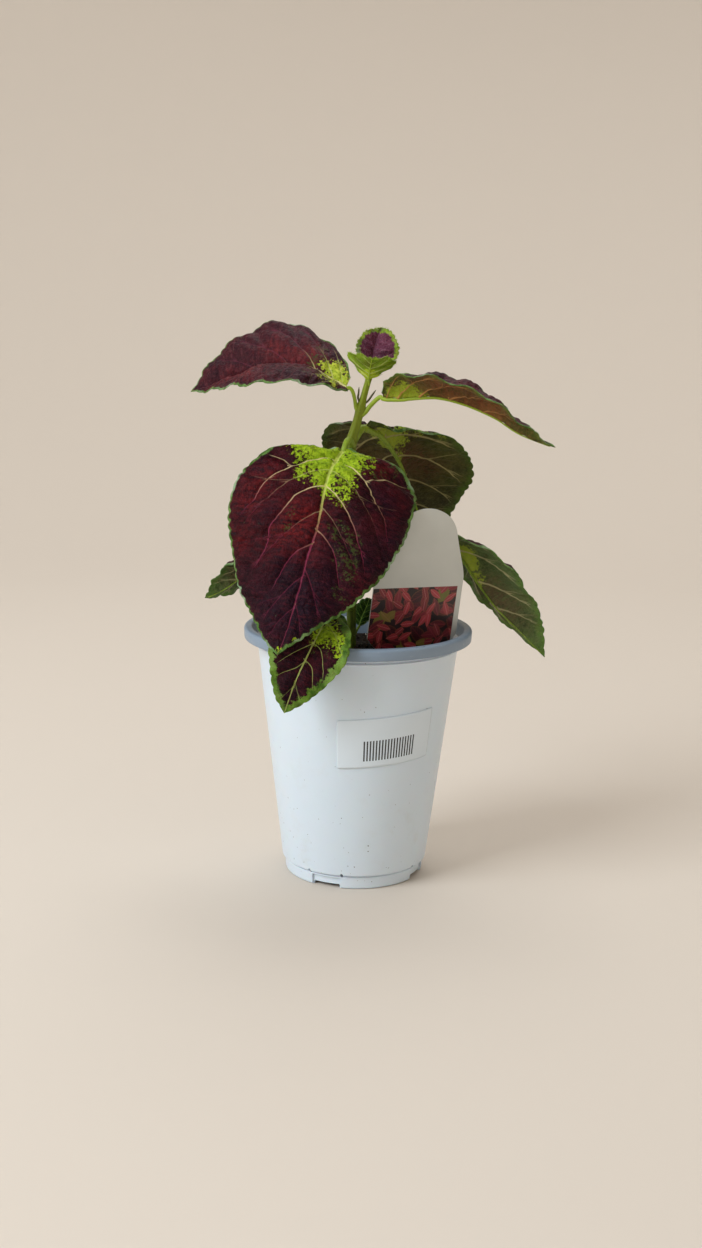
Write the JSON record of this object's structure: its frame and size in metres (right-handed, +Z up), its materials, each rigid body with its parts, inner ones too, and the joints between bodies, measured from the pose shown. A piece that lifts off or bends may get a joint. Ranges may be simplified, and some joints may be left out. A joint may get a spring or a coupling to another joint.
{
  "type": "potted coleus",
  "caption": "Young coleus plant with broad toothed burgundy leaves edged in lime, standing in soil in a tapering white nursery pot with a rolled grey lip, a push-in plant tag and a wall label.",
  "frame": {"origin": "centre of the flat pad under the pot's floor, on the pot's axis, level with the foot ring", "axes": "+Z runs up the pot's axis and the stem; -Y is the pictured front, where the big leaf hangs; +X is to the right in the picture"},
  "size_m": [0.1832, 0.1319, 0.2761],
  "materials": {
    "pot_plastic": "semi-gloss white plastic with a grey-blue lip and a grey-green inside",
    "soil": "moist dark potting mix, coarse and matt",
    "tag_plastic": "smooth white printed plastic",
    "label_film": "smooth white film",
    "stem_green": "soft olive green stem with fine hairs",
    "twig_brown": "dry dark brown",
    "leaf_burgundy": "velvety dark burgundy leaf with pale veins, a lime base and a lime toothed edge",
    "leaf_underside": "matt brown-green leaf underside with pale veins and a green edge",
    "leaf_young_purple": "velvety purple young leaf with a frilled lime edge",
    "leaf_young_green": "matt yellow-green young leaf"
  },
  "bodies": {
    "root": {"pot": "pot_plastic", "soil": "soil", "plant_tag": "tag_plastic", "pot_label": "label_film", "stem": "stem_green", "axil_twig_left": "twig_brown", "axil_twig_right": "twig_brown", "leaf_front": "leaf_burgundy", "leaf_top_left": "leaf_burgundy", "leaf_low_front": "leaf_burgundy", "leaf_back": "leaf_underside", "leaf_top_right": "leaf_underside", "leaf_lower_right": "leaf_underside", "leaf_lower_left": "leaf_underside", "leaf_young_back": "leaf_young_purple", "leaf_young_front": "leaf_young_green", "leaf_basal_right": "leaf_young_green", "leaf_basal_left": "leaf_young_green"}
  },
  "joints": []
}
